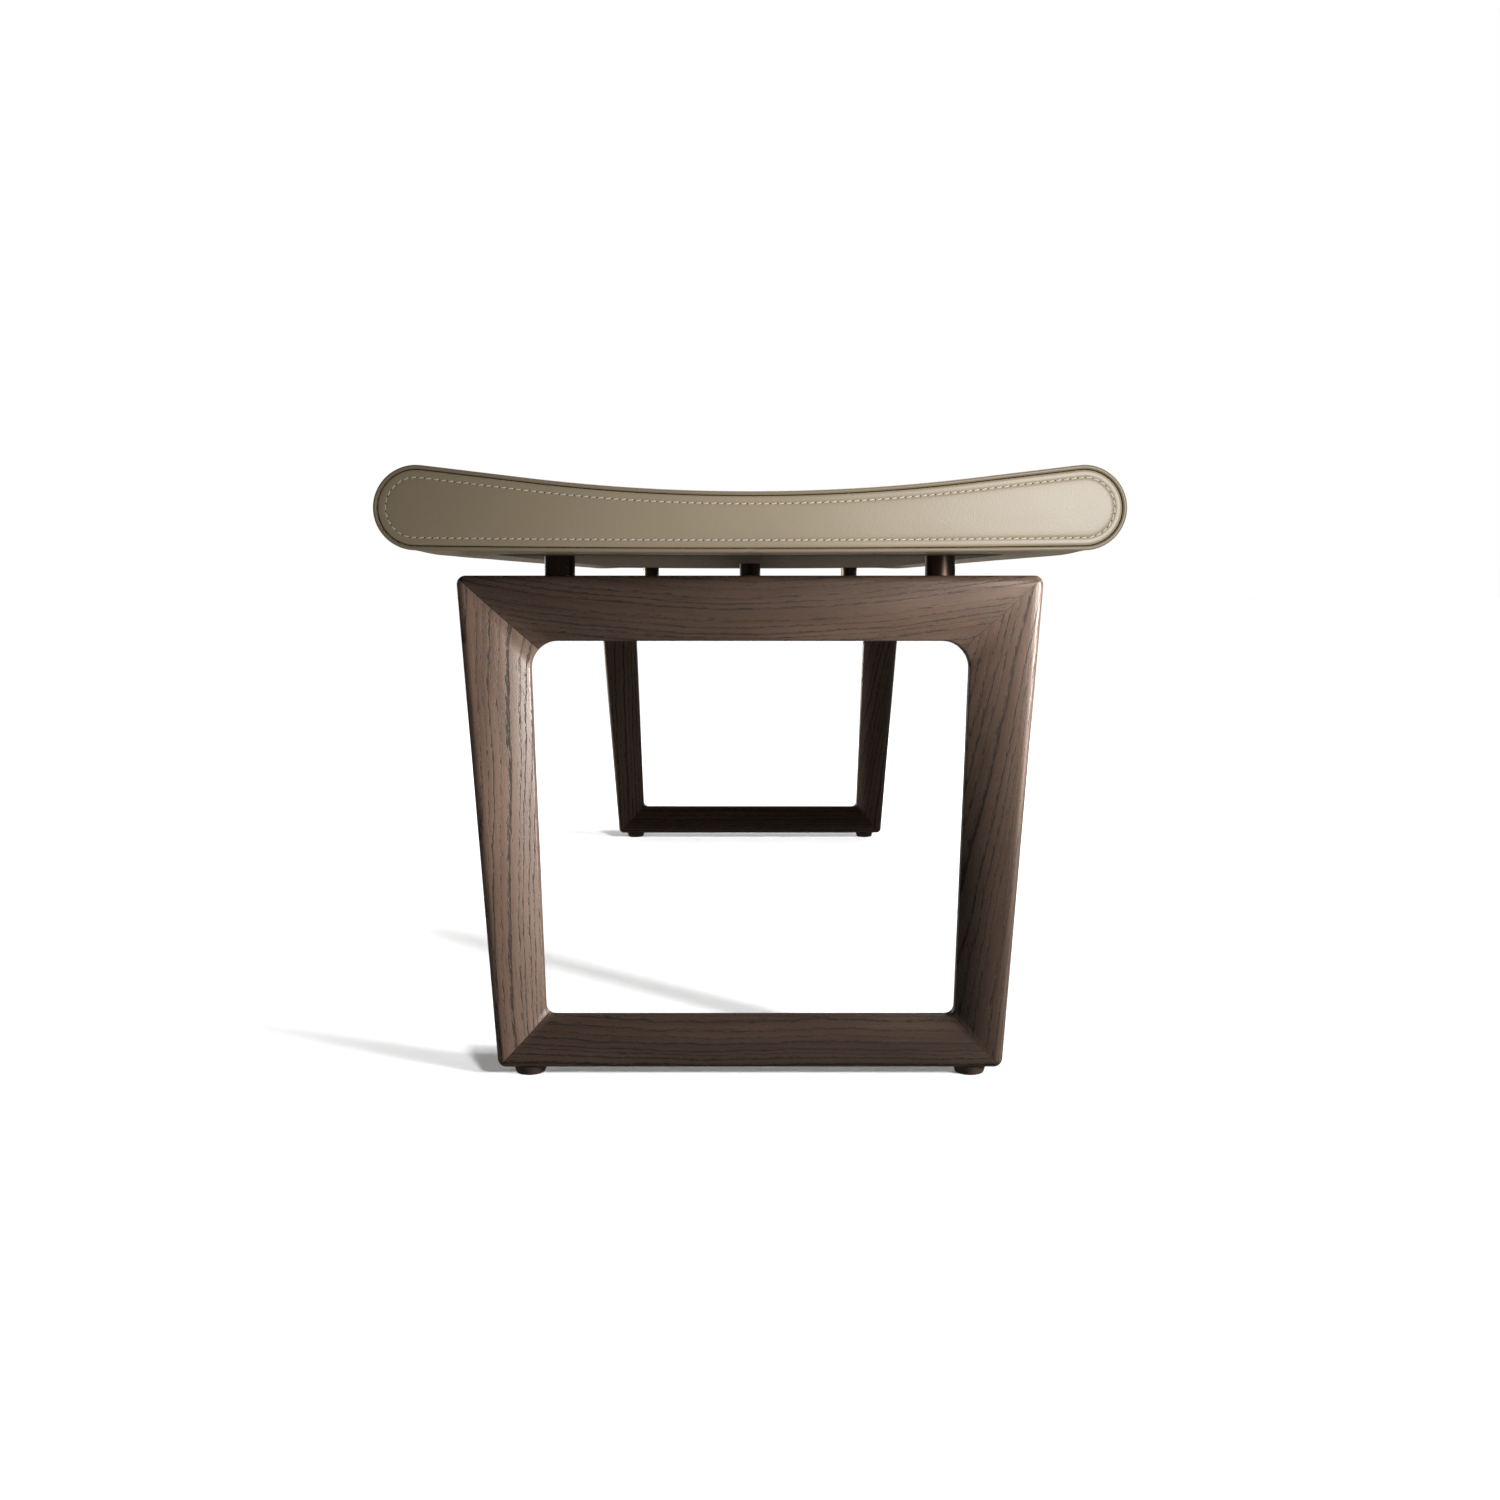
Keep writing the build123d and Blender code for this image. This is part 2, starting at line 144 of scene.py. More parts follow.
# ------------------------------------------------------------ mesh helpers
def new_piece(name, verts, faces, material):
    """A smooth-shaded mesh object that rides with the bench."""
    mesh = bpy.data.meshes.new(name)
    mesh.from_pydata([tuple(v) for v in verts], [], faces)
    mesh.update()
    bm = bmesh.new()
    bm.from_mesh(mesh)
    bmesh.ops.recalc_face_normals(bm, faces=bm.faces)
    bm.to_mesh(mesh)
    bm.free()
    for poly in mesh.polygons:
        poly.use_smooth = True
    piece = bpy.data.objects.new(name, mesh)
    bpy.context.scene.collection.objects.link(piece)
    mesh.materials.append(material)
    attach(piece, "root")
    return piece


def bridge(rings, closed=True):
    """Quads between neighbouring rings, which are lists of vertex numbers of one length."""
    faces = []
    for first, second in zip(rings, rings[1:]):
        count = len(first)
        for i in range(count if closed else count - 1):
            j = (i + 1) % count
            faces.append((first[i], first[j], second[j], second[i]))
    return faces


def smooth_noise(x, y, seed):
    """A gentle, repeatable bump between about -1 and 1."""
    total = 0.0
    for k in range(1, 4):
        wave = math.sin(x * 3.1 * k + seed * 1.7 + k)
        total += wave * math.cos(y * 2.3 * k - seed * 0.9 + 2 * k) / k
    return total / 1.6


# ------------------------------------------------------------ shader graph helper
class Graph:
    """Short-hand for building a material's node tree."""

    def __init__(self, name):
        self.material = bpy.data.materials.new(name)
        self.material.use_nodes = True
        self.tree = self.material.node_tree
        self.tree.nodes.clear()
        self.output = self.tree.nodes.new("ShaderNodeOutputMaterial")
        self.shader = self.node("BsdfPrincipled")
        self.tree.links.new(self.shader.outputs[0], self.output.inputs[0])

    def node(self, kind, settings=None, **inputs):
        made = self.tree.nodes.new("ShaderNode" + kind)
        for key, value in (settings or {}).items():
            setattr(made, key, value)
        for key, value in inputs.items():
            self.feed(made.inputs[key.replace("_", " ")], value)
        return made

    def feed(self, socket, value):
        if isinstance(value, bpy.types.NodeSocket):
            self.tree.links.new(value, socket)
        else:
            socket.default_value = value

    def math(self, operation, *values, clamp=False):
        made = self.tree.nodes.new("ShaderNodeMath")
        made.operation = operation
        made.use_clamp = clamp
        for socket, value in zip(made.inputs, values):
            self.feed(socket, value)
        return made.outputs[0]

    def vector(self, operation, *values):
        made = self.tree.nodes.new("ShaderNodeVectorMath")
        made.operation = operation
        for socket, value in zip(made.inputs, values):
            self.feed(socket, value)
        return made

    def place(self):
        return self.node("TexCoord").outputs["Object"]

    def combine(self, x, y, z):
        return self.node("CombineXYZ", X=x, Y=y, Z=z).outputs[0]

    def noise(self, vector, scale, detail=3.0, roughness=0.5):
        made = self.node("TexNoise", Vector=vector, Scale=scale, Detail=detail, Roughness=roughness)
        return made.outputs["Fac"]

    def span(self, value, low, high, to_low=0.0, to_high=1.0):
        made = self.tree.nodes.new("ShaderNodeMapRange")
        made.clamp = True
        for socket, given in zip(made.inputs, (value, low, high, to_low, to_high)):
            self.feed(socket, given)
        return made.outputs[0]

    def mix(self, factor, first, second):
        made = self.tree.nodes.new("ShaderNodeMix")
        made.data_type = "RGBA"  # its colours are then sockets 6 and 7, and its result output 2
        self.feed(made.inputs[0], factor)
        self.feed(made.inputs[6], first)
        self.feed(made.inputs[7], second)
        return made.outputs[2]

    def bump(self, height, strength, distance):
        made = self.node("Bump", Strength=strength, Distance=distance, Height=height)
        return made.outputs[0]

    def finish(self, **inputs):
        for key, value in inputs.items():
            self.feed(self.shader.inputs[key.replace("_", " ")], value)
        return self.material


# ------------------------------------------------------------ stained ash
STAIN_PORE = (0.0085, 0.0055, 0.0042, 1)
STAIN_MID = (0.036, 0.0235, 0.0175, 1)
STAIN_LIGHT = (0.088, 0.0585, 0.0445, 1)
RING_WANDER = (  # lengthwise and crosswise scale, detail and reach in metres of what bends the rings
    (5.0, 12.0, 1.0, 0.010),
    (28.0, 70.0, 2.0, 0.0030),
    (140.0, 260.0, 2.0, 0.0011),
)
YEAR_RATE = 0.35  # how fast the growth rate changes from ring to ring
YEAR_SWING = 2.4  # how far it shifts the rings, in ring widths
WEAKEST_RING = 0.40
PORE_LIMIT = 0.64  # noise level above which a pore opens, between the porous bands
PORE_HELP = 0.30  # how much lower that level is inside a porous band
MITRE_LINE = (0.00010, 0.00040)  # half widths of the joint line, full and faded out, in metres
MITRE_DEPTH = 0.8
# places of the frame's corners, as part.py has them: half widths, and (half width, height)
FRAME_TOP_HALF = 216.8 * MM
FRAME_FOOT_HALF = 185.3 * MM
OPENING_TOP = (163.38 * MM, 319.8 * MM)
OPENING_FOOT = (151.22 * MM, 42.4 * MM)


def stain(colour, painted_light_gain):
    """A stain colour scaled by a painted-light gain, lighter where the lamps fall brighter."""
    return tuple(c * painted_light_gain for c in colour[:3]) + (1,)


def stretched(g, axes, along, across, seed):
    """Grain coordinates that make a noise long along the wood and narrow across it."""
    u, v, w = axes
    return g.combine(g.math("MULTIPLY_ADD", u, along, seed * 3.7),
                     g.math("MULTIPLY", v, across), g.math("MULTIPLY", w, across))


def ash(name, centre, along, across, pith, ring, sag, lean, painted_light_gain, seed, mitres=()):
    """Dark-stained ash: growth rings round a pith line, with rows of open pores on each ring.

    along and across are unit vectors in the member. pith is the pith line's place in
    (across, depth) and lean its slope in depth along the member, which makes cathedral
    figure. ring is the ring width and sag bends the grain. The gain just before seed is painted
    light: it scales the stain colours lighter, standing in for how the lamps fall on the board.
    mitres are (point, normal) planes where a joint line shows.
    """
    g = Graph(name)
    place = g.vector("SUBTRACT", g.place(), tuple(centre)).outputs[0]
    u = g.vector("DOT_PRODUCT", place, tuple(along)).outputs["Value"]
    v = g.vector("DOT_PRODUCT", place, tuple(across)).outputs["Value"]
    w = g.vector("DOT_PRODUCT", place, (0, 1, 0)).outputs["Value"]
    v = g.math("SUBTRACT", v, g.math("MULTIPLY", g.math("MULTIPLY", u, u), sag))
    axes = (u, v, w)
    a = g.math("SUBTRACT", v, pith[0])
    b = g.math("SUBTRACT", w, g.math("MULTIPLY_ADD", u, lean, pith[1]))
    radius = g.math("SQRT", g.math("ADD", g.math("MULTIPLY", a, a), g.math("MULTIPLY", b, b)))
    for lengthwise, crosswise, detail, reach in RING_WANDER:
        field = g.noise(stretched(g, axes, lengthwise, crosswise, seed), 1.0, detail)
        radius = g.math("MULTIPLY_ADD", g.math("SUBTRACT", field, 0.5), reach, radius)
    age = g.math("MULTIPLY", radius, YEAR_RATE / ring)
    years = g.noise(g.combine(age, seed * 2.3, 0.0), 1.0, 1.0)
    radius = g.math("MULTIPLY_ADD", g.math("SUBTRACT", years, 0.5), YEAR_SWING * ring, radius)
    turns = g.math("DIVIDE", radius, ring)
    phase = g.math("FRACT", turns)
    year = g.node("TexWhiteNoise", {"noise_dimensions": "1D"}, W=g.math("FLOOR", turns))
    strong = g.math("MULTIPLY_ADD", year.outputs["Value"], 0.60, WEAKEST_RING)
    porous = g.math("MULTIPLY", g.span(phase, 0.05, 0.42, 1.0, 0.0), g.span(phase, 0.0, 0.015))
    porous = g.math("MULTIPLY", porous, strong)
    late = g.span(phase, 0.45, 1.0)
    pore_field = g.noise(stretched(g, axes, 110.0, 1250.0, seed), 1.0, 2.0, 0.6)
    short_field = g.noise(stretched(g, axes, 330.0, 2100.0, seed + 5), 1.0, 1.0)
    fibre = g.noise(stretched(g, axes, 18.0, 1100.0, seed), 1.0, 5.0, 0.65)
    cloud = g.noise(stretched(g, axes, 7.0, 45.0, seed), 1.0, 3.0)
    fade = g.noise(stretched(g, axes, 16.0, 160.0, seed + 2), 1.0, 2.0)
    limit = g.math("SUBTRACT", PORE_LIMIT, g.math("MULTIPLY", porous, PORE_HELP))
    pores = g.span(g.math("SUBTRACT", pore_field, limit), 0.0, 0.06)
    flecks = g.span(g.math("SUBTRACT", short_field, limit), 0.02, 0.08)
    broken = g.span(fade, 0.35, 0.60, 0.10, 0.90)
    edge = g.math("MULTIPLY", g.span(phase, 0.03, 0.16, 1.0, 0.0), broken)
    edge = g.math("MULTIPLY", edge, strong)
    dark = g.math("MAXIMUM", g.math("MULTIPLY", pores, 0.85), g.math("MULTIPLY", flecks, 0.70))
    dark = g.math("MAXIMUM", dark, edge)
    tone = g.math("ADD", g.math("MULTIPLY", cloud, 0.80), g.math("MULTIPLY", fibre, 0.75))
    tone = g.math("SUBTRACT", tone, g.math("MULTIPLY", porous, 0.12))
    tone = g.math("SUBTRACT", tone, g.math("MULTIPLY", late, 0.10))
    base = g.mix(g.span(tone, 0.35, 1.0), stain(STAIN_MID, painted_light_gain), stain(STAIN_LIGHT, painted_light_gain))
    height = g.math("SUBTRACT", g.math("MULTIPLY", fibre, 0.30), dark)
    for point, normal in mitres:
        offset = g.vector("SUBTRACT", g.place(), tuple(point)).outputs[0]
        away = g.vector("DOT_PRODUCT", offset, tuple(normal)).outputs["Value"]
        joint = g.span(g.math("ABSOLUTE", away), *MITRE_LINE, MITRE_DEPTH, 0.0)
        dark = g.math("MAXIMUM", dark, joint)
        height = g.math("SUBTRACT", height, joint)
    base = g.mix(dark, base, STAIN_PORE)
    rough = g.math("ADD", g.math("MULTIPLY", dark, 0.50), g.math("MULTIPLY_ADD", cloud, 0.10, 0.29))
    normal = g.bump(height, 0.24, 0.0004)
    return g.finish(Base_Color=base, Roughness=rough, Normal=normal, IOR=1.45)


def dress_frames():
    """Give each of the eight frame members its own board of ash."""
    for end in ENDS:
        top_low, top_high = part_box(f"{end}_top_rail")
        foot_low, foot_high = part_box(f"{end}_bottom_rail")
        y = (top_low.y + top_high.y) / 2
        seed = 1 if end == "front" else 11
        joints = {}
        for side, way in SIDES.items():
            outer = Vector((way * FRAME_TOP_HALF, y, top_high.z))
            joints[side, "top"] = mitre(outer, Vector((way * OPENING_TOP[0], y, OPENING_TOP[1])))
            outer = Vector((way * FRAME_FOOT_HALF, y, foot_low.z))
            joints[side, "foot"] = mitre(outer, Vector((way * OPENING_FOOT[0], y, OPENING_FOOT[1])))
        rails = {  # pith, ring width, sag, lean
            "top_rail": ((-0.30, 0.05), 0.0054, 0.46, 0.0),
            "bottom_rail": ((-0.24, 0.10), 0.0034, 0.04, 0.01),
        }
        for name, (pith, ring, sag, lean) in rails.items():
            low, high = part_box(f"{end}_{name}")
            level = "top" if name == "top_rail" else "foot"
            paint(f"{end}_{name}", ash(
                f"{end}_{name}_ash", (low + high) / 2, (1, 0, 0), (0, 0, 1), pith, ring, sag, lean,
                1.0, seed, [joints["left", level], joints["right", level]]))
            seed += 1
        boards = {  # turn of the grain in the frame's face, pith, ring width, sag, lean, painted-light gain on the stain
            # painted light: the legs' stain is lighter than the rails', 1.6 times on the left legs
            # and 1.15 times on the right, standing in for how the lamps fall on each leg
            "left": (math.radians(1.5), (0.042, 0.046), 0.0042, 0.05, 0.060, 1.6),
            "right": (math.radians(-7.0), (0.16, 0.09), 0.0046, 0.10, 0.0, 1.15),
        }
        for side, way in SIDES.items():
            turn, pith, ring, sag, lean, painted_light_gain = boards[side]
            head = Vector((way * (FRAME_TOP_HALF + OPENING_TOP[0]) / 2, y, top_high.z))
            heel = Vector((way * (FRAME_FOOT_HALF + OPENING_FOOT[0]) / 2, y, foot_low.z))
            grain = (head - heel).normalized()
            along = Vector((grain.x * math.cos(turn) - grain.z * math.sin(turn), 0,
                            grain.x * math.sin(turn) + grain.z * math.cos(turn)))
            across = Vector((along.z, 0, -along.x))
            paint(f"{end}_{side}_leg", ash(
                f"{end}_{side}_leg_ash", (head + heel) / 2, along, across, pith, ring, sag, lean,
                painted_light_gain, seed, [joints[side, "top"], joints[side, "foot"]]))
            seed += 1


def mitre(outer, inner):
    """The plane of a mitre, from its ends in the frame's face, as a point and a normal."""
    along = (inner - outer).normalized()
    return (outer + inner) / 2, Vector((along.z, 0, -along.x))


def paint(node, material):
    """Give a CAD node a material of this file."""
    mesh_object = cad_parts[node]
    mesh_object.data.materials.clear()
    mesh_object.data.materials.append(material)


# ------------------------------------------------------------ other materials
def leather(name, base=(0.40, 0.325, 0.22), grain=1.0):
    """Smooth taupe hide: fine pebble, faint clouding and hair-fine creases."""
    g = Graph(name)
    place = g.place()
    cells = g.node("TexVoronoi", {"feature": "SMOOTH_F1"}, Vector=place, Scale=950.0, Smoothness=0.6)
    pebble = cells.outputs["Distance"]
    fine = g.noise(place, 2600.0, 3.0, 0.6)
    cloud = g.noise(place, 9.0, 4.0)
    crease = g.noise(g.vector("MULTIPLY", place, (60.0, 35.0, 90.0)).outputs[0], 2.0, 5.0, 0.65)
    tone = g.math("ADD", g.math("MULTIPLY", cloud, 0.6), g.math("MULTIPLY", fine, 0.4))
    light = tuple(min(c * 1.07, 1) for c in base) + (1,)
    dark = tuple(c * 0.9 for c in base) + (1,)
    colour = g.mix(g.span(tone, 0.3, 0.7), dark, light)
    height = g.math("ADD", g.math("MULTIPLY", pebble, 0.8), g.math("MULTIPLY", fine, 0.3))
    height = g.math("ADD", height, g.math("MULTIPLY", crease, 0.7))
    normal = g.bump(height, 0.16 * grain, 0.0003)
    rough = g.math("MULTIPLY_ADD", cloud, 0.10, 0.31)
    return g.finish(Base_Color=colour, Roughness=rough, Normal=normal, IOR=1.48,
                    Sheen_Weight=0.12, Sheen_Roughness=0.4)


def thread_material():
    """Cream waxed thread, twisted."""
    g = Graph("cream_thread")
    place = g.place()
    twist = g.node("TexWave", {"wave_type": "BANDS", "bands_direction": "DIAGONAL"}, Vector=place,
                   Scale=900.0, Distortion=1.0, Detail=1.0).outputs["Fac"]
    fuzz = g.noise(place, 3000.0, 2.0)
    # painted shading: the twist bands make the thread darker in its grooves, where the bump is low;
    # the fuzz is the thread's own uneven tone
    colour = g.mix(g.math("MULTIPLY_ADD", fuzz, 0.4, g.math("MULTIPLY", twist, 0.4)),
                   (0.74, 0.68, 0.55, 1), (0.96, 0.92, 0.80, 1))
    return g.finish(Base_Color=colour, Roughness=0.62, Normal=g.bump(twist, 0.4, 0.0001))


def metal(name, colour, roughness, wear):
    """Brushed or coated metal with fine scratches and a little unevenness."""
    g = Graph(name)
    place = g.place()
    lines = g.noise(g.vector("MULTIPLY", place, (900.0, 900.0, 60.0)).outputs[0], 1.0, 3.0)
    cloud = g.noise(place, 70.0, 3.0)
    tint = tuple(min(c * 1.35, 1) for c in colour) + (1,)
    base = g.mix(g.math("MULTIPLY", cloud, wear), colour + (1,), tint)
    worn = g.math("MULTIPLY_ADD", cloud, 0.1, roughness - 0.1)
    rough = g.math("ADD", g.math("MULTIPLY", lines, 0.12), worn)
    normal = g.bump(lines, 0.08, 0.0001)
    return g.finish(Base_Color=base, Metallic=1.0, Roughness=rough, Normal=normal)


def coated(name, colour, roughness, speckle):
    """Powder-coated steel or moulded plastic: a fine orange-peel surface."""
    g = Graph(name)
    place = g.place()
    peel = g.noise(place, speckle, 3.0)
    cloud = g.noise(place, 40.0, 3.0)
    tint = tuple(min(c * 1.5, 1) for c in colour) + (1,)
    base = g.mix(cloud, colour + (1,), tint)
    rough = g.math("MULTIPLY_ADD", peel, 0.15, roughness)
    return g.finish(Base_Color=base, Roughness=rough, Normal=g.bump(peel, 0.25, 0.0002))


def woven(name, colour):
    """Plain-weave lining cloth."""
    g = Graph(name)
    place = g.place()
    yarns = []
    for way in "XY":
        wave = g.node("TexWave", {"bands_direction": way}, Vector=place, Scale=420.0,
                      Distortion=0.4, Detail=1.0)
        yarns.append(wave.outputs["Fac"])
    weave = g.math("MULTIPLY", *yarns)
    cloud = g.noise(place, 14.0, 3.0)
    # painted shading: the cloth is darker where the weave is low, between the yarns
    dark = tuple(c * 0.55 for c in colour) + (1,)
    tone = g.math("MULTIPLY_ADD", weave, 0.7, g.math("MULTIPLY", cloud, 0.3))
    base = g.mix(tone, dark, colour + (1,))
    return g.finish(Base_Color=base, Roughness=0.85, Normal=g.bump(weave, 0.5, 0.0003))


def plywood(name):
    """Birch ply: thin glued layers that show at the edge."""
    g = Graph(name)
    place = g.place()
    z = g.node("SeparateXYZ", Vector=place).outputs[2]
    layer = g.math("FRACT", g.math("MULTIPLY", z, 700.0))
    grain = g.noise(g.vector("MULTIPLY", place, (240.0, 8.0, 240.0)).outputs[0], 1.0, 4.0)
    stripe = g.math("MULTIPLY", g.math("GREATER_THAN", layer, 0.5), 0.3)
    tone = g.math("MULTIPLY_ADD", grain, 0.6, stripe)
    base = g.mix(tone, (0.42, 0.29, 0.17, 1), (0.66, 0.52, 0.36, 1))
    return g.finish(Base_Color=base, Roughness=0.6, Normal=g.bump(grain, 0.2, 0.0003))


LEATHER = leather("taupe_leather")
EDGE_LEATHER = leather("edge_leather", (0.33, 0.268, 0.18), 0.7)
# painted shadow: near-black discs just proud of the end panels stand in for the dark inside of each
# needle hole
HOLE_SHADOW = coated("needle_hole", (0.012, 0.010, 0.008), 0.8, 900.0)
THREAD = thread_material()
BRONZE = metal("dark_bronze", (0.048, 0.034, 0.027), 0.36, 0.5)
STEEL = metal("zinc_steel", (0.55, 0.55, 0.57), 0.34, 0.3)
BEAM = coated("black_powder_coat", (0.014, 0.014, 0.015), 0.42, 1400.0)
GLIDE = coated("brown_glide", (0.040, 0.026, 0.021), 0.48, 700.0)
LINING = woven("lining_cloth", (0.33, 0.285, 0.22))
PLY = plywood("birch_ply")

PLAIN_FINISHES = {
    "front_mitre_splines": PLY, "rear_mitre_splines": PLY, "seat_board": PLY,
    "centre_beam": BEAM, "front_beam_plate": BEAM, "rear_beam_plate": BEAM,
    "beam_plate_screws": STEEL, "post_studs": STEEL, "rail_inserts": STEEL,
    "seat_inserts": STEEL, "beam_nut": STEEL, "glide_screws": STEEL,
    "front_left_post": BRONZE, "front_right_post": BRONZE, "centre_post": BRONZE,
    "rear_left_post": BRONZE, "rear_right_post": BRONZE,
    "front_left_glide": GLIDE, "front_right_glide": GLIDE,
    "rear_left_glide": GLIDE, "rear_right_glide": GLIDE,
    "underside_panel": LINING,
}


# ------------------------------------------------------------ seat cover
COVER_STATIONS = 220  # rings of the sleeve from end to end, closer together near the ends
PANEL_LAP = 1.0 * MM  # how far the sleeve runs in past the underside panel's edge
PANEL_REBATE = 0.9 * MM  # height of the sleeve above the seat's bottom, inside that line
# how far the skin stands off its outline, in millimetres
TOP_CROWN = 0.9
TOP_RIPPLE = 0.45
PUCKER_HEIGHT = 0.22
SAG_DEPTH = 2.3
UNDER_RIPPLE = 0.25
# where it does, in metres
SETTLE_LENGTH = 0.10  # from a sewn end to where the padding stands at its fullest
PUCKER_START = 0.004
PUCKER_REACH = 0.045
SAG_X = 0.212
SAG_WIDTH = 0.030
panel_half_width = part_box("underside_panel")[1].x - PANEL_LAP
panel_half_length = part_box("underside_panel")[1].y - PANEL_LAP


def ease(value):
    """Smooth step from 0 to 1."""
    value = min(max(value, 0.0), 1.0)
    return value * value * (3 - 2 * value)


def cover_give(x, z, y):
    """How far the padded skin stands off its drawn outline, outward, at a place on the seat."""
    inward = sleeve_end - abs(y)
    settle = ease(inward / SETTLE_LENGTH)
    if z > lobe_z - 0.3 * lobe_radius:
        crown = TOP_CROWN * settle * (1 - 0.4 * (x / seat_half_width) ** 2)
        ripple = TOP_RIPPLE * settle * smooth_noise(x * 5, y * 3.4, 3)
        puckers = PUCKER_HEIGHT * math.sin(x * 190 + 2 * math.sin(x * 31))
        puckers *= ease(inward / PUCKER_START)
        puckers *= max(1 - inward / PUCKER_REACH, 0) ** 2
        return (crown + ripple + puckers) * MM
    edge = math.exp(-(((abs(x) - SAG_X) / SAG_WIDTH) ** 2))
    ripple = UNDER_RIPPLE * settle * smooth_noise(x * 7, y * 5, 6)
    return (SAG_DEPTH * edge * settle + ripple) * MM


def seat_cover():
    """The leather sleeve: a tight padded skin between the two sewn ends."""
    verts, rings = [], []
    for k in range(COVER_STATIONS + 1):
        share = 0.5 - 0.5 * math.cos(math.pi * k / COVER_STATIONS)
        y = -sleeve_end + 2 * sleeve_end * share
        ring = []
        for x, z in loop(0.0):
            if z < lobe_z and abs(x) < panel_half_width and abs(y) < panel_half_length:
                z = seat_bottom + PANEL_REBATE
                away = 0.0
            else:
                away = cover_give(x, z, y)
            normal = section_normal(x, z)
            ring.append(len(verts))
            verts.append((x + normal[0] * away, y, z + normal[1] * away))
        rings.append(ring)
    piece = new_piece("seat_leather", verts, bridge(rings), LEATHER)
    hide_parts("seat_cover", "seat_foam")


def section_normal(x, z):
    """Outward direction of the section's outline at a point on it."""
    if abs(x) > lobe_x:
        way = Vector((abs(x) - lobe_x, z - lobe_z)).normalized()
        return (math.copysign(way.x, x), way.y)
    return (0.0, 1.0 if z > lobe_z else -1.0)


# ------------------------------------------------------------ seat ends
PANEL_RINGS = [  # inset and height above the flat panel, in millimetres, from the seam inward
    (3.05, -1.6), (3.10, -0.8), (3.3, -0.3), (3.8, -0.05), (4.8, 0.05), (6.2, 0.03),
    (7.4, -0.06), (7.9, -0.22), (8.2, -0.28), (8.5, -0.22), (9.0, -0.06), (10.5, 0.08), (13.0, 0.14),
]
PIPING_RINGS = [  # inset and distance out of the sleeve's end, in millimetres, sleeve to panel
    (0.0, -0.2), (-0.12, 0.4), (-0.2, 1.2), (-0.05, 2.1), (0.45, 2.7), (1.2, 2.95),
    (1.9, 2.8), (2.35, 2.3), (2.6, 1.5), (2.65, 0.4),
]
PANEL_ROWS = 8
PANEL_RECESS = 0.7 * MM  # the panel's face behind the rim's outermost line
PANEL_SWELL = 0.12  # millimetres
PANEL_UNEVEN = 0.05  # millimetres
SWELL_FADE = 20 * MM  # height of the panel below which the swell dies away
RIM_JOINT_HALF = 0.0025
RIM_JOINT_DEPTH = 0.5  # millimetres
panel_face = seat_half_length - PANEL_RECESS


def end_panel(end, way):
    """The flat leather end with its rolled-in edge and the groove that the stitches pull."""
    verts, rings = [], []
    for inset, lift in PANEL_RINGS:
        ring = []
        for x, z in loop(inset * MM):
            ring.append(len(verts))
            verts.append((x, way * (panel_face + lift * MM), z))
        rings.append(ring)
    faces = bridge(rings)
    inner, count = rings[-1], len(columns(0.0))
    upper = inner[:count]
    lower = [inner[0]] + list(reversed(inner[count:])) + [inner[count - 1]]
    grid = [lower]
    lift = PANEL_RINGS[-1][1]
    for row in range(1, PANEL_ROWS):
        share = row / PANEL_ROWS
        line = [inner[0]]
        for i in range(1, count - 1):
            low, high = Vector(verts[lower[i]]), Vector(verts[upper[i]])
            point = low.lerp(high, share)
            swell = PANEL_SWELL * math.sin(math.pi * share)
            swell += PANEL_UNEVEN * smooth_noise(point.x * 9, point.z * 60, 5)
            swell *= min((high.z - low.z) / SWELL_FADE, 1) ** 2
            line.append(len(verts))
            verts.append((point.x, way * (panel_face + (lift + swell) * MM), point.z))
        line.append(inner[count - 1])
        grid.append(line)
    grid.append(upper)
    for face in bridge(grid, closed=False):
        faces.append(tuple(dict.fromkeys(face)))
    piece = new_piece(f"{end}_end_leather", verts, faces, LEATHER)
    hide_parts(f"{end}_end_panel")


def edge_piping(end, way):
    """The rim round the end: a rounded leather welt with one butt joint underneath."""
    verts, rings = [], []
    for inset, out in PIPING_RINGS:
        ring = []
        for x, z in loop(inset * MM):
            joint = 0.0
            if z < lobe_z and abs(x) < RIM_JOINT_HALF:
                joint = RIM_JOINT_DEPTH
            ring.append(len(verts))
            verts.append((x, way * (sleeve_end + (out - joint) * MM), z + joint * 0.5 * MM))
        rings.append(ring)
    piece = new_piece(f"{end}_rim_leather", verts, bridge(rings), EDGE_LEATHER)
    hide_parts(f"{end}_edge_piping")


STITCH_INSET = 8.2 * MM
STITCH_PITCH = 5.0 * MM
STITCH_LENGTH = 3.7 * MM
THREAD_RADIUS = 0.47 * MM
STITCH_SLANT = math.radians(9)
SLANT_SPREAD = 0.05  # radians either way
THREAD_SIDES = 8
THREAD_STEPS = 8
THREAD_LIFT = 0.62  # height of a stitch's arch, in millimetres
THREAD_SINK = 0.22  # depth of its ends under the groove, in millimetres
STITCH_GROOVE = 0.22 * MM
HOLE_SIDES = 10
HOLE_RADIUS = 0.42 * MM


def walk(points, pitch):
    """Points and directions spaced evenly round a closed outline."""
    closed = points + points[:1]
    lengths = [math.dist(a, b) for a, b in zip(closed, closed[1:])]
    total = sum(lengths)
    count = round(total / pitch)
    spots, travelled, i = [], 0.0, 0
    for k in range(count):
        target = total * k / count
        while travelled + lengths[i] < target:
            travelled += lengths[i]
            i += 1
        a, b = closed[i], closed[i + 1]
        share = (target - travelled) / lengths[i]
        spot = (a[0] + (b[0] - a[0]) * share, a[1] + (b[1] - a[1]) * share)
        spots.append((spot, ((b[0] - a[0]) / lengths[i], (b[1] - a[1]) / lengths[i])))
    return spots


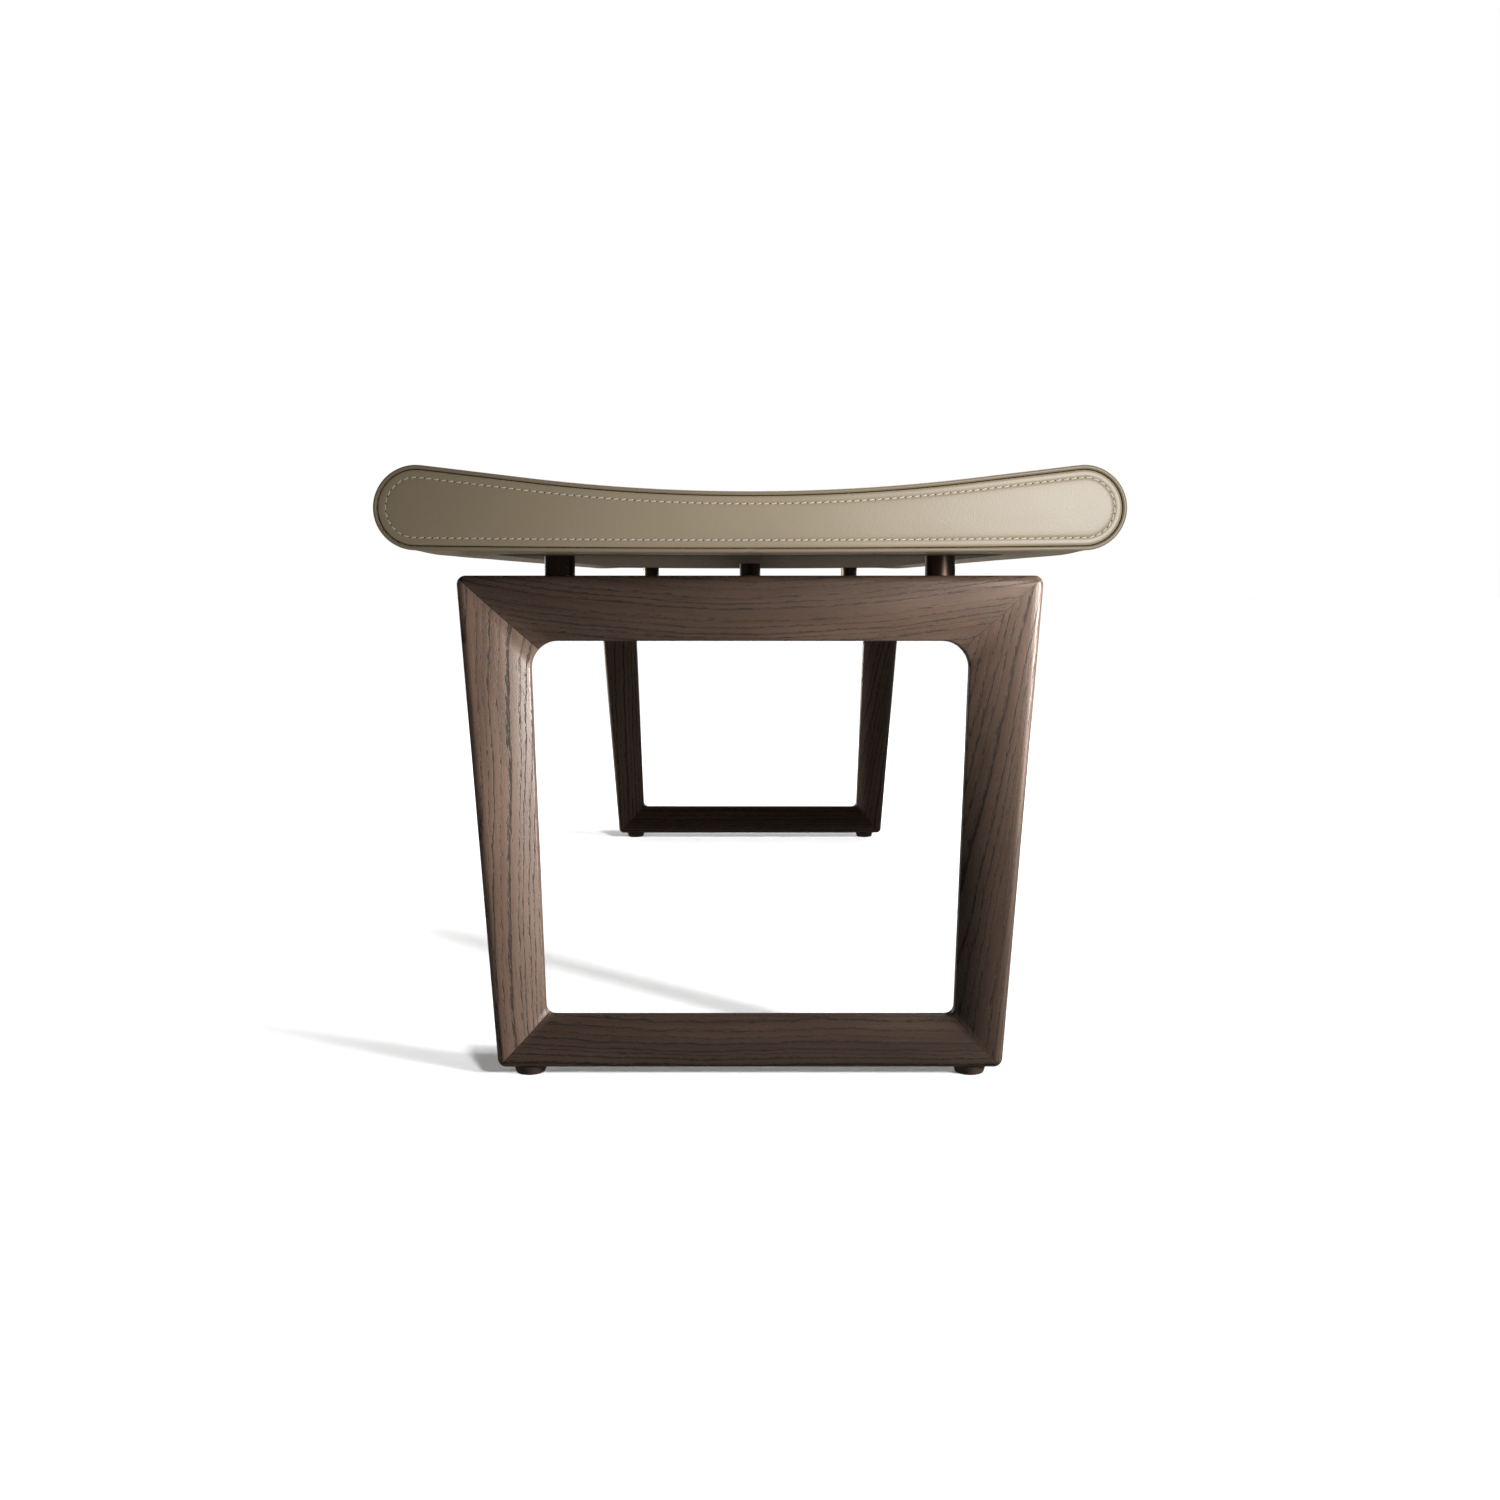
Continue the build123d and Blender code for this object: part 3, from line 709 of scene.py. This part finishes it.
def stitching(end, way, rng):
    """Separate saddle stitches, each an arched length of thread that dives into its holes, and at
    each hole a near-black disc of painted shadow.
    """
    verts, faces, hole_verts, hole_faces = [], [], [], []
    surface = panel_face - STITCH_GROOVE
    for (x, z), (dx, dz) in walk(loop(STITCH_INSET), STITCH_PITCH):
        slant = STITCH_SLANT + rng.uniform(-SLANT_SPREAD, SLANT_SPREAD)
        tx = dx * math.cos(slant) - dz * math.sin(slant)
        tz = dx * math.sin(slant) + dz * math.cos(slant)
        length = STITCH_LENGTH * rng.uniform(0.94, 1.05)
        rings = []
        for s in range(THREAD_STEPS + 1):
            share = s / THREAD_STEPS
            along = (share - 0.5) * length
            rise = math.sin(math.pi * share) ** 0.6
            centre_y = surface + (rise * THREAD_LIFT - THREAD_SINK) * MM
            thick = THREAD_RADIUS * (0.72 + 0.28 * rise)
            ring = []
            for t in range(THREAD_SIDES):
                angle = 2 * math.pi * t / THREAD_SIDES
                side, out = math.cos(angle) * thick, math.sin(angle) * thick * 0.8
                ring.append(len(verts))
                verts.append((x + tx * along - tz * side, way * (centre_y + out),
                              z + tz * along + tx * side))
            rings.append(ring)
        faces += bridge(rings)
        faces += [tuple(rings[0]), tuple(rings[-1])]
        # painted shadow: a flat near-black disc just proud of the groove stands in for the dark
        # inside of the needle hole
        hole_x, hole_z = x + dx * STITCH_PITCH / 2, z + dz * STITCH_PITCH / 2
        rim = []
        for t in range(HOLE_SIDES):
            angle = 2 * math.pi * t / HOLE_SIDES
            rim.append(len(hole_verts))
            hole_verts.append((hole_x + math.cos(angle) * HOLE_RADIUS, way * (surface + 0.02 * MM),
                               hole_z + math.sin(angle) * HOLE_RADIUS))
        centre = len(hole_verts)
        hole_verts.append((hole_x, way * (surface + 0.05 * MM), hole_z))
        hole_faces += [(rim[t], rim[(t + 1) % HOLE_SIDES], centre) for t in range(HOLE_SIDES)]
    piece = new_piece(f"{end}_stitches", verts, faces, THREAD)
    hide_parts(f"{end}_stitching")
    holes = new_piece(f"{end}_needle_hole_shadows", hole_verts, hole_faces, HOLE_SHADOW)


STITCH_SEED = 7


def seat_ends():
    """Panel, rim and stitches at both ends of the seat."""
    rng = random.Random(STITCH_SEED)
    for end, way in ENDS.items():
        end_panel(end, way)
        edge_piping(end, way)
        stitching(end, way, rng)


# ------------------------------------------------------------ stage
FLOOR_SIZE = 60
FLOOR_SEEN = (0.92, 0.92, 0.92, 1)
FLOOR_FELT = (0.17, 0.155, 0.135, 1)
ROOM_GLOW = 0.03  # how much of its own white the room throws on the object
WASH_COUNT = 8
WASH_STRENGTH = 0.03
WARM = (1.0, 0.945, 0.89)


def pale_floor():
    """A floor that looks white and throws only a little warm light back on the object."""
    bpy.ops.mesh.primitive_plane_add(size=FLOOR_SIZE, location=(0, 0, 0))
    floor = bpy.context.object
    floor.name = "floor"
    g = Graph("pale_floor")
    g.tree.nodes.remove(g.shader)
    seen = g.node("BsdfDiffuse", Color=FLOOR_SEEN)
    felt = g.node("BsdfDiffuse", Color=FLOOR_FELT)
    path = g.node("LightPath")
    both = g.node("MixShader", Fac=path.outputs["Is Camera Ray"])
    g.tree.links.new(felt.outputs[0], both.inputs[1])
    g.tree.links.new(seen.outputs[0], both.inputs[2])
    g.tree.links.new(both.outputs[0], g.output.inputs[0])
    floor.data.materials.append(g.material)
    return floor


def white_room():
    """White behind the object, and a faint even light on it."""
    world = bpy.data.worlds.new("white_room")
    bpy.context.scene.world = world
    world.use_nodes = True
    nodes, links = world.node_tree.nodes, world.node_tree.links
    nodes.clear()
    path = nodes.new("ShaderNodeLightPath")
    strength = nodes.new("ShaderNodeMapRange")
    strength.inputs["To Min"].default_value = ROOM_GLOW
    strength.inputs["To Max"].default_value = 1.0
    links.new(path.outputs["Is Camera Ray"], strength.inputs[0])
    back = nodes.new("ShaderNodeBackground")
    back.inputs[0].default_value = (1, 1, 1, 1)
    links.new(strength.outputs[0], back.inputs[1])
    links.new(back.outputs[0], nodes.new("ShaderNodeOutputWorld").inputs[0])


def add_light(name, kind, energy, place=None, target=None, size=None):
    """A lamp that the camera doesn't see, aimed at target where it has a place."""
    lamp = bpy.data.objects.new(name, bpy.data.lights.new(name, kind))
    lamp.data.energy = energy
    bpy.context.scene.collection.objects.link(lamp)
    lamp.visible_camera = False
    if place:
        lamp.location = place
        aim = Vector(target) - Vector(place)
        lamp.rotation_euler = aim.to_track_quat("-Z", "Y").to_euler()
    if size:
        lamp.data.shape = "RECTANGLE"
        lamp.data.size, lamp.data.size_y = size
    return lamp


def group(name, members):
    """A collection of objects for a lamp to light, or to take shadows from."""
    made = bpy.data.collections.new(name)
    for member in members:
        made.objects.link(member)
    return made


def light_floor(floor):
    """An even wash, and three low suns in which only chosen legs, rails and glides throw shadows."""
    floor_only = group("floor_only", [floor])
    for k in range(WASH_COUNT):
        lamp = add_light(f"floor_wash_{k}", "SUN", WASH_STRENGTH)
        lamp.data.angle = math.radians(50)
        lamp.rotation_euler = (math.radians(58), 0, math.radians(360 / WASH_COUNT * k + 20))
        lamp.light_linking.receiver_collection = floor_only
    shadows = {  # turn, height above the horizon and softness in degrees, strength, what throws it
        "right": (46.5, 24, 5, 4.0, ("front_right_leg", "front_bottom_rail", "front_right_glide",
                                       "rear_right_leg", "rear_bottom_rail")),
        "left": (60.5, 24, 10, 3.5, ("front_left_leg", "front_bottom_rail", "front_left_glide",
                                    "rear_left_leg", "rear_bottom_rail", "rear_left_glide")),
        "rear": (200, 22, 18, 1.1, ("rear_bottom_rail", "rear_left_glide", "rear_right_glide")),
    }
    for side, (turn, height, softness, energy, names) in shadows.items():
        lamp = add_light(f"{side}_shadow", "SUN", energy)
        lamp.data.angle = math.radians(softness)
        lamp.rotation_euler = (math.radians(90 - height), 0, math.radians(turn))
        lamp.light_linking.receiver_collection = floor_only
        blockers = group(f"{side}_blockers", [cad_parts[name] for name in names])
        lamp.light_linking.blocker_collection = blockers


def light_object(floor):
    """Side lamps that each light one group of pieces, and broad lamps from above and behind."""
    every = [o for o in bpy.context.scene.objects if o.type == "MESH" and o is not floor]
    seat_words = ("leather", "stitches", "needle", "underside")
    seat = [o for o in every if any(word in o.name for word in seat_words)]
    front = [o for o in every if o.name.startswith("front") and o not in seat]
    keyed = [o for o in front if "post" not in o.name]
    cornered = keyed + [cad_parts["front_right_post"]]
    left_leg = [o for o in front if o.name == "front_left_leg"]
    near_end = [o for o in seat if o.name.startswith("front")]
    rear = [o for o in every if o.name.startswith("rear") and o not in seat]
    rest = [o for o in every if o not in seat and o not in front]
    lamps = {  # energy, place, aim, size, spread in degrees, what it lights
        "seat_key": (0.72, (0.48, -1.75, 0.50), (0.12, -0.70, 0.41), (0.22, 0.22), 45, near_end),
        "frame_side": (3.3, (1.00, -1.00, 0.38), (0.00, -0.57, 0.28), (0.20, 0.30), 70, keyed),
        "frame_edge": (1.3, (1.15, -0.80, 0.35), (0.00, -0.57, 0.30), (0.20, 0.30), 50, keyed),
        "frame_corner": (0.45, (0.55, -1.25, 0.50), (0.20, -0.58, 0.40), (0.25, 0.25), 22, cornered),
        "rear_side": (3.3, (-1.00, 1.00, 0.38), (0.00, 0.57, 0.28), (0.20, 0.30), 70, rear),
        "left_leg": (1.6, (0.50, -1.25, 0.34), (-0.16, -0.57, 0.27), (0.22, 0.30), 75, left_leg),
    }
    for name, (energy, place, aim, size, spread, lit) in lamps.items():
        lamp = add_light(name, "AREA", energy, place, aim, size)
        lamp.data.spread = math.radians(spread)
        lamp.light_linking.receiver_collection = group(f"{name}_lit", lit)
        if lit is not near_end:
            lamp.data.color = WARM
    add_light("top", "AREA", 14.0, (0.1, 0.5, 2.0), (0, 0.2, 0.4), (0.6, 1.0))
    add_light("back_right", "AREA", 26.0, (1.2, 1.9, 0.75), (0, 0.5, 0.25), (0.7, 0.7))
    add_light("back_left", "AREA", 9.0, (-1.3, 1.7, 0.6), (0, 0.5, 0.25), (0.7, 0.7))
    side = add_light("side", "AREA", 4.0, (1.9, 0.35, 0.8), (0, 0.3, 0.25), (0.8, 0.8))
    side.light_linking.receiver_collection = group("side_lit", rest + seat)


def place_camera():
    """Square to the bench's narrow end, level, with the frame shifted down to the feet."""
    camera = bpy.data.objects.new("camera", bpy.data.cameras.new("camera"))
    bpy.context.scene.collection.objects.link(camera)
    camera.location = (0, -1.796, 0.3643)
    camera.rotation_euler = (math.radians(90), 0, 0)
    camera.data.sensor_width = 36
    camera.data.lens = 39.71
    camera.data.shift_y = -0.1127
    bpy.context.scene.camera = camera


dress_frames()
for node, finish_material in PLAIN_FINISHES.items():
    paint(node, finish_material)
seat_cover()
seat_ends()
bpy.context.scene.view_settings.view_transform = "Standard"
studio_floor = pale_floor()
white_room()
light_floor(studio_floor)
light_object(studio_floor)
place_camera()

bpy.context.view_layer.update()
